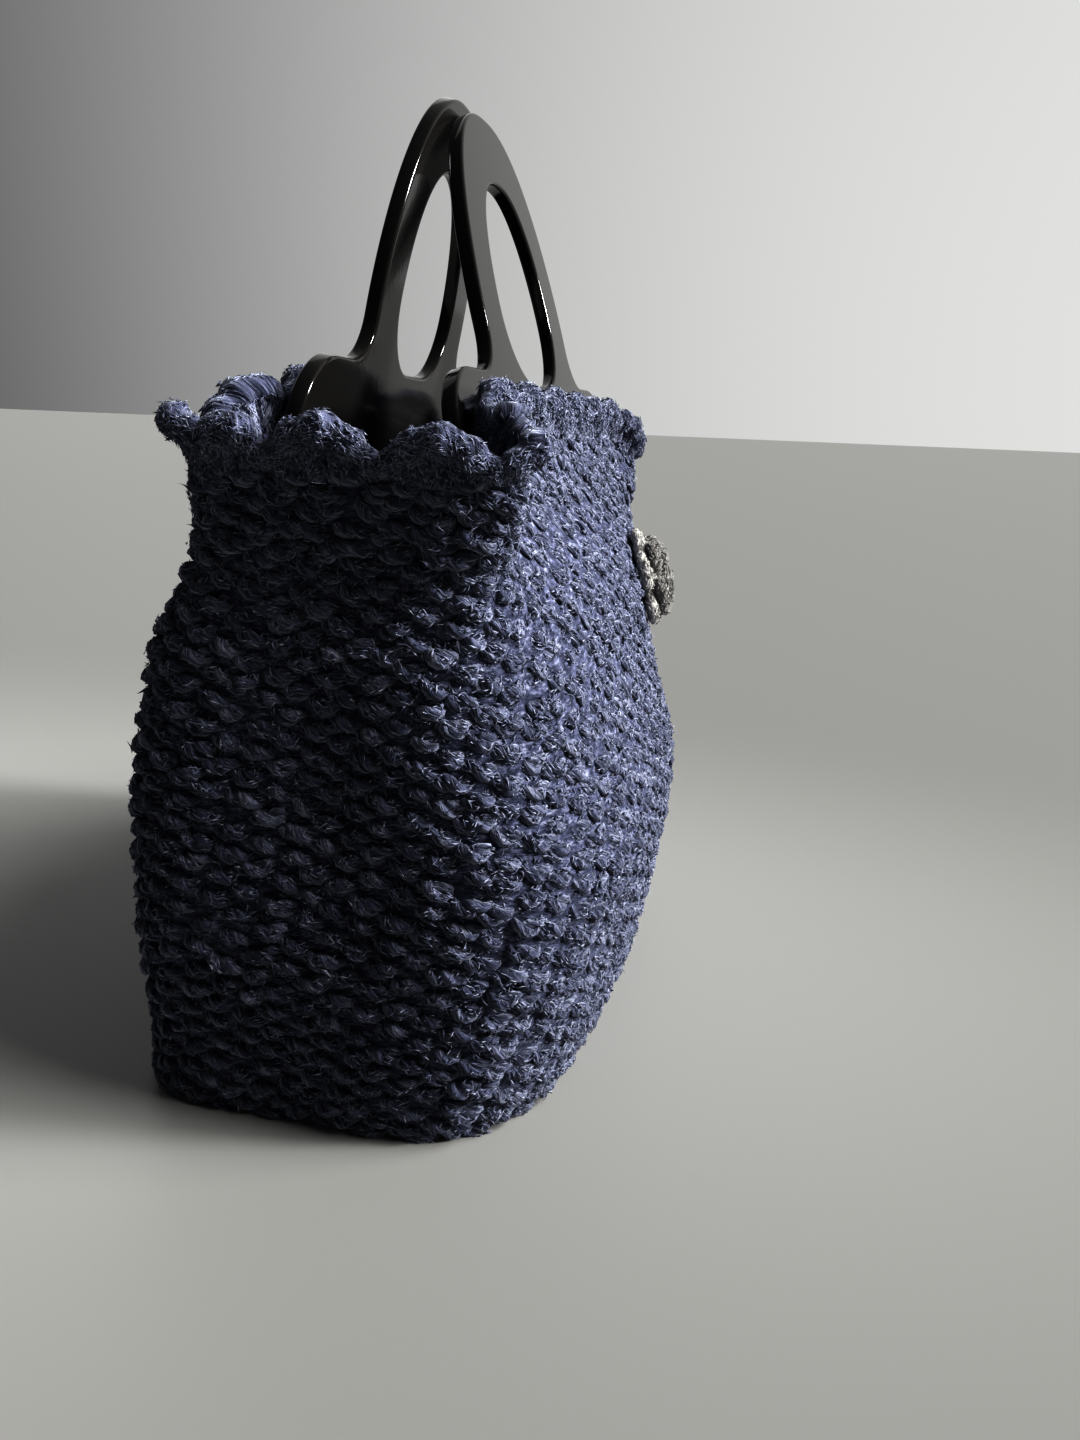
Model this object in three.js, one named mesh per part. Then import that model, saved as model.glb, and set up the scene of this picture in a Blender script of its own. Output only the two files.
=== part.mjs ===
// Crochet tote bag: a hollow worked-yarn body with a drawn-in collar and a scalloped ruffle,
// two flat plate handles standing in the mouth, and a layered flower on the front.
// Millimetres, +Z up, X along the length; the front with the flower faces -Y.
import * as THREE from 'three';
import { mergeVertices } from 'three/addons/utils/BufferGeometryUtils.js';

// Fabric and its rounds
const FABRIC = 6;
const GAP = 0.3;
const BASE_THICK = 6;
const COLLAR_START = 210;
const RUFFLE_START = 230;
const RUFFLE_VALLEY = 233;
const RUFFLE_CREST = 252;
const RUFFLE_FLARE = 10;
const RUFFLE_LOBES = 22;
const SPLIT_LOBES = [9, 12];
const LOBE_POWER = 1.1;
const LOBE_SHIFT = 0.011;
const FRONT_DROP = 7;
const BACK_RISE = 6;
const MIDDLE_ROUND = 100;
const RIM_ROUND = 236;
const ROUND_STEPS = 96;
const LOBE_STEPS = 6;
const CORNER_FAN = 0.01;

// The rim is carried higher along the handles than at the two ends
const SIDE_LIFT = 15;
const LIFT_FROM = 130;
const LIFT_TO = 235;
const LIFT_INNER_X = 105;
const LIFT_OUTER_X = 150;

// Where the handles hold the fabric against their plates
const HOLD_FROM = 165;
const HOLD_TO = 214;
const HOLD_INNER_X = 112;
const HOLD_OUTER_X = 156;

// Handle plate, measured from the bottom of its base bar
const PLATE = 6;
const PLATE_EDGE = 1.2;
const BAR_HALF = 123;
const BAR_CORNER = 6;
const SHOULDER = 44.4;
const SHOULDER_CORNER = 25.3;
const LEG_FILLET = 16.8;
const ARCH_HALF = 63.3;
const ARCH_TOP = 149;
const ARCH_POWER = 0.84;
const GRIP_HALF = 39.1;
const GRIP_BOTTOM = 42;
const GRIP_TOP = 122.8;
const GRIP_CORNER = 28;

// Flower on the front
const FLOWER_X = 68;
const FLOWER_H = 176;
const LOWER_RADIUS = 28;
const LOWER_PETALS = 6;
const UPPER_RADIUS = 20;
const UPPER_PETALS = 5;
const CENTRE_RADIUS = 6;

// One row per measured round of the body: worked height, half length, half depth, sideways
// shift of the round, and how square its front and back halves are in plan.
const ROUNDS = [
  { h: 0, half: 151, deep: 85.5, shift: 11.9, front: 3.8, back: 5.9 },
  { h: 12, half: 156, deep: 88, shift: 7, front: 3.4, back: 5.9 },
  { h: 45, half: 159.5, deep: 95, shift: 2.3, front: 3.2, back: 5.5 },
  { h: 90, half: 160, deep: 98.5, shift: 0, front: 3.1, back: 5.4 },
  { h: 135, half: 158.5, deep: 90, shift: 2.7, front: 2.9, back: 6.1 },
  { h: 172, half: 154.5, deep: 81, shift: 3.4, front: 2.8, back: 6.2 },
  { h: 200, half: 151, deep: 77, shift: 0.4, front: 3.1, back: 5.8 },
  { h: 214, half: 150, deep: 75.4, shift: -0.8, front: 4.6, back: 5.8 },
  { h: 226, half: 150.5, deep: 75.2, shift: -0.8, front: 5.4, back: 5.8 },
  { h: 256, half: 151.5, deep: 75.2, shift: -0.8, front: 5.4, back: 5.8 },
];

// Worked heights at which the wall and the collar are built.
const BODY_ROWS = [0, BASE_THICK, 15, 30, 50, 72, 94, 116, 138, 160, 180, 196, COLLAR_START - GAP / 2];
const COLLAR_ROWS = [COLLAR_START + GAP / 2, 220, RUFFLE_START - GAP / 2];

// Soft hollows and folds where the unfilled fabric sags: place on the wall, sideways and upright
// spread, and depth.
const DENTS = [
  { x: -160, y: 12, z: 128, wide: 32, tall: 40, depth: 9.5 },
  { x: -152, y: 46, z: 26, wide: 24, tall: 16, depth: 7 },
  { x: -150, y: 4, z: 197, wide: 24, tall: 7, depth: 3.5 },
  { x: 160, y: -8, z: 112, wide: 34, tall: 42, depth: 7 },
  { x: -52, y: 96, z: 66, wide: 40, tall: 28, depth: 5 },
  { x: 74, y: 92, z: 136, wide: 34, tall: 24, depth: 4 },
  { x: -62, y: -84, z: 150, wide: 36, tall: 20, depth: 3 },
];

// One row per handle: where its inner reference line stands, its lean towards the middle and its
// turn in plan. side is -1 for the front and 1 for the back.
const HANDLES = [
  { name: 'handle_front', side: -1, x: 1.6, y: -55.8, z: 176, up: 52, lean: 15.4, turn: -4 },
  { name: 'handle_back', side: 1, x: 0, y: 43.4, z: 176, up: 52, lean: 11.5, turn: 1.2 },
];

const clamp01 = (t) => Math.min(1, Math.max(0, t));
const mix = (a, b, t) => a + (b - a) * t;
const ease = (from, to, v) => {
  const t = clamp01((v - from) / (to - from));
  return t * t * (3 - 2 * t);
};
const radians = THREE.MathUtils.degToRad;

// Value of one column of the rounds at a worked height, by a cubic that does not overshoot.
function roundValue(column, h) {
  const last = ROUNDS.length - 1;
  let i = 0;
  while (i < last - 1 && h > ROUNDS[i + 1].h) i += 1;
  const step = (k) => ROUNDS[k + 1].h - ROUNDS[k].h;
  const rise = (k) => (ROUNDS[k + 1][column] - ROUNDS[k][column]) / step(k);
  const slope = (k) => {
    if (k === 0) return rise(0);
    if (k === last) return rise(last - 1);
    const before = rise(k - 1);
    const after = rise(k);
    return before * after <= 0 ? 0 : (2 * before * after) / (before + after);
  };
  const width = step(i);
  const t = clamp01((h - ROUNDS[i].h) / width);
  const p = ROUNDS[i][column];
  const q = ROUNDS[i + 1][column];
  const t2 = t * t;
  const t3 = t2 * t;
  return (2 * t3 - 3 * t2 + 1) * p + (t3 - 2 * t2 + t) * width * slope(i)
    + (3 * t2 - 2 * t3) * q + (t3 - t2) * width * slope(i + 1);
}

// Plan of a round at angle a: a superellipse with its own squareness in front and at the back.
function planPoint(h, a) {
  const c = Math.cos(a);
  const s = Math.sin(a);
  const n = roundValue(s < 0 ? 'front' : 'back', h);
  const r = (Math.abs(c) ** n + Math.abs(s) ** n) ** (-1 / n);
  const x = roundValue('half', h) * r * c;
  const y = roundValue('shift', h) + roundValue('deep', h) * r * s;
  return new THREE.Vector2(x, y);
}

// Share of a closed path's length that is passed at each of many even steps.
function lengthShares(pointAt) {
  const fine = 1440;
  const length = [0];
  let before = pointAt(0);
  for (let k = 1; k <= fine; k += 1) {
    const here = pointAt(k / fine);
    length.push(length[k - 1] + here.distanceTo(before));
    before = here;
  }
  return length.map((v) => v / length[fine]);
}

// Step, from 0 to 1, at which a share of the length is passed.
function stepAtShare(shares, share) {
  const t = share - Math.floor(share);
  let low = 0;
  let high = shares.length - 1;
  while (high - low > 1) {
    const middle = (low + high) >> 1;
    if (shares[middle] <= t) low = middle;
    else high = middle;
  }
  const part = (t - shares[low]) / (shares[high] - shares[low]);
  return (low + part) / (shares.length - 1);
}

const MIDDLE_SHARES = lengthShares((step) => planPoint(MIDDLE_ROUND, 2 * Math.PI * step));

function evenAngle(s) {
  return 2 * Math.PI * stepAtShare(MIDDLE_SHARES, s);
}

// Depth at which fabric lies against the outer face of a handle plate.
function plateDepth(handle, x, z) {
  const lean = radians(handle.lean);
  const turn = radians(handle.turn);
  const outside = FABRIC + GAP + (handle.side > 0 ? PLATE : 0);
  const along = Math.tan(turn) * (x - handle.x);
  const slope = -handle.side * Math.tan(lean) * (z - handle.z);
  return handle.y + along + slope + (handle.side * outside) / (Math.cos(lean) * Math.cos(turn));
}

// Outer face of the fabric at worked height h and fraction s of the round.
function wallPoint(h, s) {
  const plan = planPoint(h, evenAngle(s));
  const reach = Math.abs(plan.x);
  const lift = SIDE_LIFT * ease(LIFT_FROM, LIFT_TO, h) * (1 - ease(LIFT_INNER_X, LIFT_OUTER_X, reach));
  const point = new THREE.Vector3(plan.x, plan.y, h + lift);
  const handle = plan.y < roundValue('shift', h) ? HANDLES[0] : HANDLES[1];
  const hold = ease(HOLD_FROM, HOLD_TO, h) * (1 - ease(HOLD_INNER_X, HOLD_OUTER_X, reach));
  point.y = mix(point.y, plateDepth(handle, point.x, point.z), hold);
  const out = new THREE.Vector2(plan.x / 160 ** 2, plan.y / 98 ** 2).normalize();
  for (const dent of DENTS) {
    const aside = Math.hypot(point.x - dent.x, point.y - dent.y) / dent.wide;
    const above = (point.z - dent.z) / dent.tall;
    const push = dent.depth * Math.exp(-0.5 * (aside * aside + above * above));
    point.x -= out.x * push;
    point.y -= out.y * push;
  }
  return point;
}

// Outward direction of any surface given as a function of height and fraction of the round; reach
// is the fraction looked over to each side, larger where a tight corner should fan out.
function outward(surface, h, s, reach = 0.002) {
  const around = surface(h, s + reach).sub(surface(h, s - reach));
  const upward = surface(h + 0.4, s).sub(surface(h - 0.4, s));
  return around.cross(upward).normalize();
}

// Ruffle: the wall carried on upward, each lobe leaning out and rising to a round crest. The lobes
// are equal lengths of the rim, two of them split in two at the corners, and q is the share of the
// rim. The crests sink toward the front and the valleys rise toward the back.
const RIM_SHARES = lengthShares((s) => wallPoint(RIM_ROUND, s));

function lobe(q) {
  const place = RUFFLE_LOBES * (q - Math.floor(q));
  const parts = SPLIT_LOBES.includes(Math.floor(place)) ? 2 : 1;
  return Math.abs(Math.sin(Math.PI * place * parts)) ** LOBE_POWER;
}

function ruffleSide(q) {
  return stepAtShare(RIM_SHARES, q + LOBE_SHIFT);
}

function rufflePoint(t, q) {
  const s = ruffleSide(q);
  const depth = wallPoint(RUFFLE_START, s).y;
  const crest = RUFFLE_CREST - FRONT_DROP * ease(10, -70, depth);
  const valley = RUFFLE_VALLEY + BACK_RISE * ease(10, 60, depth);
  const h = mix(RUFFLE_START + 3 * GAP, mix(valley, crest, lobe(q)), t);
  const point = wallPoint(h, s);
  const flare = RUFFLE_FLARE * t ** 1.4 * (0.3 + 0.7 * lobe(q));
  return point.addScaledVector(outward(wallPoint, RUFFLE_START, s, CORNER_FAN), flare);
}

// Closed ring of fabric between two edges: outer grid, inner grid and the two edge strips.
function ringGeometry(outer, inner, rows, steps) {
  const positions = [];
  const index = [];
  const ring = (make, k) => {
    for (let j = 0; j < steps; j += 1) positions.push(...make(k / rows, j / steps).toArray());
  };
  for (let k = 0; k <= rows; k += 1) ring(outer, k);
  for (let k = rows; k >= 0; k -= 1) ring(inner, k);
  const rings = 2 * (rows + 1);
  for (let k = 0; k < rings; k += 1) {
    for (let j = 0; j < steps; j += 1) {
      const a = k * steps + j;
      const b = k * steps + ((j + 1) % steps);
      const c = ((k + 1) % rings) * steps + ((j + 1) % steps);
      const d = ((k + 1) % rings) * steps + j;
      if (k + 1 < rings) index.push(a, b, c, a, c, d);
      else index.push(a, b, d, b, c, d);
    }
  }
  const geometry = new THREE.BufferGeometry();
  geometry.setAttribute('position', new THREE.Float32BufferAttribute(positions, 3));
  geometry.setIndex(index);
  return geometry;
}

// Closed solid from a stack of rings with a pole at each end.
function stackGeometry(rings, low, high) {
  const steps = rings[0].length;
  const positions = rings.flat().flatMap((v) => v.toArray());
  const index = [];
  const bottom = rings.length * steps;
  const top = bottom + 1;
  positions.push(...low.toArray(), ...high.toArray());
  for (let j = 0; j < steps; j += 1) {
    const next = (j + 1) % steps;
    index.push(bottom, next, j);
    for (let k = 0; k + 1 < rings.length; k += 1) {
      const a = k * steps;
      const b = a + steps;
      index.push(a + j, a + next, b + next, a + j, b + next, b + j);
    }
    const last = (rings.length - 1) * steps;
    index.push(last + j, last + next, top);
  }
  const geometry = new THREE.BufferGeometry();
  geometry.setAttribute('position', new THREE.Float32BufferAttribute(positions, 3));
  geometry.setIndex(index);
  return geometry;
}

// Fabric through a list of worked heights, FABRIC thick; its foot is squared off on the floor.
function fabricBand(heights) {
  const rows = heights.length - 1;
  const height = (t) => heights[Math.round(t * rows)];
  const outer = (t, s) => wallPoint(height(t), s);
  const inner = (t, s) => insidePoint(height(t), s, FABRIC);
  return ringGeometry(outer, inner, rows, ROUND_STEPS);
}

function insidePoint(h, s, depth) {
  const out = outward(wallPoint, Math.round(h), s, CORNER_FAN);
  if (h <= BASE_THICK) out.setZ(0).normalize();
  return wallPoint(h, s).addScaledVector(out, -depth);
}

function rufflePiece() {
  const inner = (t, q) => {
    const thick = mix(FABRIC, FABRIC + 1, t);
    const out = outward(wallPoint, RUFFLE_START, ruffleSide(q), CORNER_FAN);
    return rufflePoint(t, q).addScaledVector(out, -thick);
  };
  return ringGeometry(rufflePoint, inner, 3, RUFFLE_LOBES * LOBE_STEPS);
}

// Bottom panel, fitted inside the foot of the wall.
function basePiece() {
  const rings = [0, BASE_THICK].map((h) => {
    const ring = [];
    for (let j = 0; j < ROUND_STEPS; j += 1) ring.push(insidePoint(h, j / ROUND_STEPS, FABRIC + GAP));
    return ring;
  });
  const centre = new THREE.Vector3(0, 8, 0);
  return stackGeometry(rings, centre, centre.clone().setZ(BASE_THICK));
}

// Half outline of a handle, from the bottom of the bar round the shoulder and leg to the apex.
function arcPoints(cx, cy, r, from, to, count) {
  const points = [];
  for (let k = 0; k <= count; k += 1) {
    const a = mix(from, to, k / count);
    points.push(new THREE.Vector2(cx + r * Math.cos(a), cy + r * Math.sin(a)));
  }
  return points;
}

function taperPoints(half, from, to, count) {
  const points = [];
  for (let k = 1; k <= count; k += 1) {
    const a = (Math.PI / 2) * (k / count);
    const x = k === count ? 0 : half * Math.cos(a) ** ARCH_POWER;
    points.push(new THREE.Vector2(x, from + (to - from) * Math.sin(a)));
  }
  return points;
}

function mirrored(half) {
  const other = half.filter((v) => v.x > 1e-6).map((v) => new THREE.Vector2(-v.x, v.y));
  return [...half, ...other.reverse()];
}

function handlePiece(handle) {
  const quarter = Math.PI / 2;
  const outer = mirrored([
    ...arcPoints(BAR_HALF - BAR_CORNER, BAR_CORNER, BAR_CORNER, -quarter, 0, 2),
    ...arcPoints(BAR_HALF - SHOULDER_CORNER, SHOULDER - SHOULDER_CORNER, SHOULDER_CORNER, 0, quarter, 6),
    ...arcPoints(ARCH_HALF + LEG_FILLET, SHOULDER + LEG_FILLET, LEG_FILLET, -quarter, -2 * quarter, 4),
    ...taperPoints(ARCH_HALF, SHOULDER + LEG_FILLET, ARCH_TOP, 13),
  ]);
  const grip = mirrored([
    ...arcPoints(GRIP_HALF - GRIP_CORNER, GRIP_BOTTOM + GRIP_CORNER, GRIP_CORNER, -quarter, 0, 5),
    ...taperPoints(GRIP_HALF, GRIP_BOTTOM + GRIP_CORNER, GRIP_TOP, 11),
  ]);
  const shape = new THREE.Shape(outer);
  shape.holes.push(new THREE.Path(grip.reverse()));
  const geometry = new THREE.ExtrudeGeometry(shape, {
    depth: PLATE - 2 * PLATE_EDGE,
    steps: 1,
    bevelEnabled: true,
    bevelThickness: PLATE_EDGE,
    bevelSize: PLATE_EDGE,
    bevelOffset: -PLATE_EDGE,
    bevelSegments: 1,
  });
  geometry.translate(0, handle.up, PLATE_EDGE - PLATE);
  const lean = new THREE.Matrix4().makeRotationX(Math.PI / 2 + handle.side * radians(handle.lean));
  const turn = new THREE.Matrix4().makeRotationZ(radians(handle.turn));
  const place = new THREE.Matrix4().makeTranslation(handle.x, handle.y, handle.z);
  geometry.applyMatrix4(place.multiply(turn).multiply(lean));
  return geometry;
}

// Flower layers: each a lobed disc whose profile lists radius fraction and height over the wall.
const LOWER_PROFILE = [[0.35, 0], [0.75, 0.8], [1, 2.4], [1, 5.4], [0.75, 4.7], [0.35, 4]];
const UPPER_PROFILE = [[0.4, 4.3], [0.75, 6.4], [1, 9.6], [0.98, 13.6], [0.7, 11.4], [0.35, 9]];
const CENTRE_PROFILE = [[0.75, 9.5], [1, 11.2], [0.8, 13.2]];

function flowerSeat() {
  let s = 0.75;
  for (let k = 0; k < 60; k += 1) s += (FLOWER_X - wallPoint(FLOWER_H, s).x) / 1200;
  const out = outward(wallPoint, FLOWER_H, s);
  const origin = wallPoint(FLOWER_H, s).addScaledVector(out, GAP);
  const along = new THREE.Vector3(0, 0, 1).cross(out).normalize();
  const upright = out.clone().cross(along);
  return new THREE.Matrix4().makeBasis(along, upright, out).setPosition(origin);
}

function flowerLayer(radius, petals, steps, profile, low, high, notch) {
  const rings = profile.map(([part, height]) => {
    const ring = [];
    for (let j = 0; j < steps; j += 1) {
      const a = (2 * Math.PI * j) / steps;
      const petal = petals ? Math.abs(Math.sin((petals * a) / 2)) ** 0.5 : 1;
      const r = radius * part * (1 - notch * part * (1 - petal));
      ring.push(new THREE.Vector3(r * Math.cos(a), r * Math.sin(a), height));
    }
    return ring;
  });
  const geometry = stackGeometry(rings, new THREE.Vector3(0, 0, low), new THREE.Vector3(0, 0, high));
  return geometry.applyMatrix4(flowerSeat());
}

const bag = new THREE.Group();
bag.name = 'crochet_tote_bag';

function addPiece(name, geometry, color, roughness) {
  geometry.deleteAttribute('normal');
  geometry.deleteAttribute('uv');
  const solid = mergeVertices(geometry, 1e-4);
  solid.computeVertexNormals();
  const mesh = new THREE.Mesh(solid, new THREE.MeshStandardMaterial({ color, roughness }));
  mesh.name = name;
  bag.add(mesh);
}

const YARN = 0x5a5e86;
const LACQUER = 0x111113;
const PALE_GREY = 0xa9a7a0;
const DARK_GREY = 0x7d7b76;

addPiece('base_panel', basePiece(), YARN, 0.95);
addPiece('body_wall', fabricBand(BODY_ROWS), YARN, 0.95);
addPiece('collar_band', fabricBand(COLLAR_ROWS), YARN, 0.95);
addPiece('ruffle_edging', rufflePiece(), YARN, 0.95);
for (const handle of HANDLES) addPiece(handle.name, handlePiece(handle), LACQUER, 0.3);
addPiece('flower_lower_petals', flowerLayer(LOWER_RADIUS, LOWER_PETALS, 48, LOWER_PROFILE, 0, 4, 0.3), PALE_GREY, 0.95);
addPiece('flower_upper_petals', flowerLayer(UPPER_RADIUS, UPPER_PETALS, 40, UPPER_PROFILE, 4.3, 9, 0.3), DARK_GREY, 0.95);
addPiece('flower_centre', flowerLayer(CENTRE_RADIUS, 0, 16, CENTRE_PROFILE, 9.3, 13.9, 0), DARK_GREY, 0.95);

export default bag;
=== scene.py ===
import bpy
import numpy as np
from mathutils import Matrix, Vector
from mathutils.geometry import tessellate_polygon


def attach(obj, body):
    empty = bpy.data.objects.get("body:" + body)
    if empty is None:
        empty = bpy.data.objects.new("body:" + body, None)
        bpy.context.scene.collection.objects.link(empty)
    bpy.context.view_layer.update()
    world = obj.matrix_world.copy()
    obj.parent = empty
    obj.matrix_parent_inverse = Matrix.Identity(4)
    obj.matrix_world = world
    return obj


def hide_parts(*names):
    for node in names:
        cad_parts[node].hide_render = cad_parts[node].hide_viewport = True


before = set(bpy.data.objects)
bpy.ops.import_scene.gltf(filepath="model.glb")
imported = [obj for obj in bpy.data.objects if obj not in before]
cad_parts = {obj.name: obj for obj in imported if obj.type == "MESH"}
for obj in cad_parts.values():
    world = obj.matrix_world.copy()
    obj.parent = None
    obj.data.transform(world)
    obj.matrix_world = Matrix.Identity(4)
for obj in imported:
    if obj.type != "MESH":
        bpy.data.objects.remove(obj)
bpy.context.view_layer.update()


# Body wall. One hollow barrel of bulky heathered blue yarn, worked in rounds from the base up and
# left unlined, so that it sags at the ends and swells in the middle. Behind the stitches lies a shell
# of packed yarn, bumpy on the inside like the wrong side of the work, and darkened as painted shade
# in the gaps between the stitches.
MM = 0.001
FABRIC = 6.0
COLLAR_START = 210.0
MIDDLE_ROUND = 100.0
ROUND_STEPS = 1440
STITCHES = 80
BODY_ROWS = 24
ROW = 8.9
FIRST_ROW = 4.2
COLUMN_LEAN = 0.2

# worked height, half length, half depth, sideways shift, squareness of the front and of the back
ROUNDS = np.array([
    (0, 151, 85.5, 11.9, 3.8, 5.9),
    (12, 156, 88, 7, 3.4, 5.9),
    (45, 159.5, 95, 2.3, 3.2, 5.5),
    (90, 160, 98.5, 0, 3.1, 5.4),
    (135, 158.5, 90, 2.7, 2.9, 6.1),
    (172, 154.5, 81, 3.4, 2.8, 6.2),
    (200, 151, 77, 0.4, 3.1, 5.8),
    (214, 150, 75.4, -0.8, 4.6, 5.8),
    (226, 150.5, 75.2, -0.8, 5.4, 5.8),
    (256, 151.5, 75.2, -0.8, 5.4, 5.8),
], float)

# soft hollows: x, y, z on the wall, sideways spread, upright spread, depth
DENTS = np.array([
    (-160, 12, 128, 32, 40, 9.5),
    (-152, 46, 26, 24, 16, 7),
    (-150, 4, 197, 24, 7, 3.5),
    (160, -8, 112, 34, 42, 7),
    (-52, 96, 66, 40, 28, 5),
    (74, 92, 136, 34, 24, 4),
    (-62, -84, 150, 36, 20, 3),
], float)

# half length and half depth of the oval that the hollows are pushed square to
OVAL_X, OVAL_Y = 160.0, 98.0

# the fabric is lifted along the handles, between these heights and less toward the ends
SIDE_LIFT = 15.0
LIFT_FROM, LIFT_TO = 130.0, 235.0
LIFT_INNER_X, LIFT_OUTER_X = 105.0, 150.0

# the fabric is drawn in to the plates, between these heights and less toward the ends
HOLD_FROM, HOLD_TO = 165.0, 214.0
HOLD_INNER_X, HOLD_OUTER_X = 112.0, 156.0

# handles, front then back: side, x, y and z of the reference line, lean and turn in degrees
HANDLES = np.array([(-1, 1.6, -55.8, 176, 15.4, -4), (1, 0, 43.4, 176, 11.5, 1.2)])
PLATE = 6.0
GAP = 0.3


def ease(start, end, value):
    """A smooth step: 0 before start, 1 after end, 3t^2 - 2t^3 between."""
    t = np.clip((value - start) / (end - start), 0, 1)
    return t * t * (3 - 2 * t)


def unit(v):
    """Vectors scaled to length 1."""
    return v / np.maximum(np.linalg.norm(v, axis=-1, keepdims=True), 1e-9)


def run_along(paths):
    """Length of each path from its start to each of its points: the running sum of its steps."""
    step = np.linalg.norm(np.diff(paths, axis=-2), axis=-1)
    return np.concatenate([np.zeros((*step.shape[:-1], 1)), np.cumsum(step, axis=-1)], -1)


def round_column(k, h):
    """Column k of the rounds at worked height h: a cubic through the rows whose slope at each row is
    the harmonic mean of the slopes beside it, so it doesn't overshoot."""
    x, y = ROUNDS[:, 0], ROUNDS[:, k]
    width = np.diff(x)
    rise = np.diff(y) / width
    product = rise[:-1] * rise[1:]
    total = np.where(product > 0, rise[:-1] + rise[1:], 1)
    slope = np.concatenate([rise[:1], np.where(product > 0, 2 * product / total, 0), rise[-1:]])
    i = np.clip(np.searchsorted(x, h) - 1, 0, len(width) - 1)
    t = np.clip((h - x[i]) / width[i], 0, 1)
    return ((2 * t**3 - 3 * t**2 + 1) * y[i] + (t**3 - 2 * t**2 + t) * width[i] * slope[i]
            + (3 * t**2 - 2 * t**3) * y[i + 1] + (t**3 - t**2) * width[i] * slope[i + 1])


def plan_of_round(h, angle):
    """A round seen from above: the superellipse |x/a|^n + |y/b|^n = 1, with n of its own in front and
    at the back."""
    c, s = np.cos(angle), np.sin(angle)
    n = np.where(s < 0, round_column(4, h), round_column(5, h))
    r = (np.abs(c)**n + np.abs(s)**n)**(-1 / n)
    return round_column(1, h) * r * c, round_column(3, h) + round_column(2, h) * r * s


even_angle = np.linspace(0, 2 * np.pi, ROUND_STEPS + 1)
even_run = run_along(np.stack(plan_of_round(np.full(even_angle.shape, MIDDLE_ROUND), even_angle), -1))
even_part = even_run / even_run[-1]


def wall(h, s):
    """Outer face of the fabric at worked height h and fraction s of the round, in millimetres: the plan
    of the round, lifted along the handles, drawn in to the plates and pushed in at the hollows."""
    h, s = np.broadcast_arrays(np.asarray(h, float), np.asarray(s, float))
    x, y = plan_of_round(h, np.interp(s % 1, even_part, even_angle))
    reach = np.abs(x)
    z = h + SIDE_LIFT * ease(LIFT_FROM, LIFT_TO, h) * (1 - ease(LIFT_INNER_X, LIFT_OUTER_X, reach))
    hold = ease(HOLD_FROM, HOLD_TO, h) * (1 - ease(HOLD_INNER_X, HOLD_OUTER_X, reach))
    out = np.stack([x / OVAL_X**2, y / OVAL_Y**2])
    out = out / np.linalg.norm(out, axis=0)
    side, hx, hy, hz, lean, turn = np.moveaxis(HANDLES[(y >= round_column(3, h)).astype(int)], -1, 0)
    lean, turn = np.radians(lean), np.radians(turn)
    proud = side * (FABRIC + GAP + np.where(side > 0, PLATE, 0)) / (np.cos(lean) * np.cos(turn))
    plate = hy + np.tan(turn) * (x - hx) - side * np.tan(lean) * (z - hz) + proud
    y = y + (plate - y) * hold
    for dx, dy, dz, wide, tall, depth in DENTS:
        push = depth * np.exp(-0.5 * (((x - dx)**2 + (y - dy)**2) / wide**2 + ((z - dz) / tall)**2))
        x, y = x - out[0] * push, y - out[1] * push
    return np.stack([x, y, z], -1)


def outward(surface, h, s, reach=0.001, rise=0.3):
    """Outward direction of a surface of (height, fraction): across the round times up the wall. reach is
    the fraction looked over to each side, larger where a tight corner should fan out, and rise the
    height looked over above and below."""
    around = surface(h, s + reach) - surface(h, s - reach)
    upward = surface(h + rise, s) - surface(h - rise, s)
    return unit(np.cross(around, upward))


def make_piece(name, points, corners, sizes, uv, tone, finish, nodes=()):
    """One mesh piece from whole arrays: points in millimetres, the corners of all faces in a row, the
    number of corners of each face, a uv pair per corner and a tone per point."""
    mesh = bpy.data.meshes.new(name)
    mesh.vertices.add(len(points))
    mesh.vertices.foreach_set("co", (points * MM).astype(np.float32).ravel())
    mesh.loops.add(len(corners))
    mesh.loops.foreach_set("vertex_index", corners.astype(np.int32))
    mesh.polygons.add(len(sizes))
    starts = np.concatenate([[0], np.cumsum(sizes)[:-1]])
    mesh.polygons.foreach_set("loop_start", starts.astype(np.int32))
    mesh.polygons.foreach_set("use_smooth", np.ones(len(sizes), bool))
    mesh.uv_layers.new(name="yarn").data.foreach_set("uv", uv.astype(np.float32).ravel())
    mesh.attributes.new("tone", "FLOAT", "POINT").data.foreach_set("value", tone.astype(np.float32))
    mesh.update(calc_edges=True)
    mesh.materials.append(finish)
    piece = bpy.data.objects.new(name, mesh)
    bpy.context.scene.collection.objects.link(piece)
    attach(piece, "root")
    if nodes:
        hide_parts(*nodes)
    return piece


def face_uv(u0, u1, v0, v1):
    """uv of the four corners of every face, in turn from (u0, v0) to (u0, v1)."""
    return np.stack([np.stack([u0, v0], -1), np.stack([u1, v0], -1), np.stack([u1, v1], -1),
                     np.stack([u0, v1], -1)], -2)


MIDDLE_TONE = 0.5


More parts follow.
